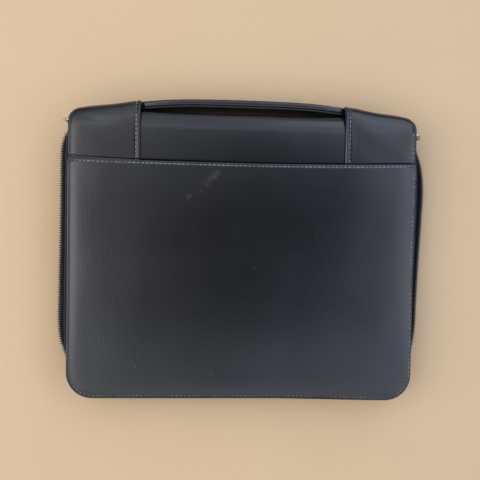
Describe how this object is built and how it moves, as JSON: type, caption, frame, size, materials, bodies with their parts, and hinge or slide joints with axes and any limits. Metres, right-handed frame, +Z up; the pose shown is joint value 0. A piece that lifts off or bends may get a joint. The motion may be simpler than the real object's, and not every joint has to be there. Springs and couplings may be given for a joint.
{
  "type": "zip-around leather laptop bag",
  "caption": "Slim zip-around leather laptop bag with a slip pocket on the back, a carry handle held in sleeves on the spine, and D-rings for a strap.",
  "frame": {"origin": "middle of the bag's footprint, on the surface that the front cover lies on", "axes": "+X along the spine to the right with the handle away from the viewer, +Y from the zipped edge to the spine and handle, +Z up out of the back cover"},
  "size_m": [0.3462, 0.2813, 0.0477],
  "materials": {
    "leather": "smooth black leather with a fine grain and a satin sheen",
    "zip_tape": "black woven tape",
    "zip_teeth": "black moulded plastic",
    "ring_metal": "polished nickel plate"
  },
  "bodies": {
    "bag": {"cover_wrap": "leather", "back_pocket": "leather", "tab_left": "leather", "tab_right": "leather", "handle_face": "leather", "handle_back": "leather", "gusset_upper": "leather", "gusset_lower": "leather", "zip_tape_upper": "zip_tape", "zip_tape_lower": "zip_tape", "zip_chain": "zip_teeth", "zip_slider": "zip_teeth", "ring_loop_left": "leather", "ring_loop_right": "leather"},
    "ring_left": {"d_ring_left": "ring_metal"},
    "ring_right": {"d_ring_right": "ring_metal"}
  },
  "joints": [
    {"name": "ring_left_swing", "type": "hinge", "parent": "bag", "child": "ring_left", "pos_m": [-0.1553, 0.1182, 0.022], "axis": [0, 0, 1], "range_deg": [-30, 30]},
    {"name": "ring_right_swing", "type": "hinge", "parent": "bag", "child": "ring_right", "pos_m": [0.1567, 0.1182, 0.022], "axis": [0, 0, 1], "range_deg": [-5, 80]}
  ]
}
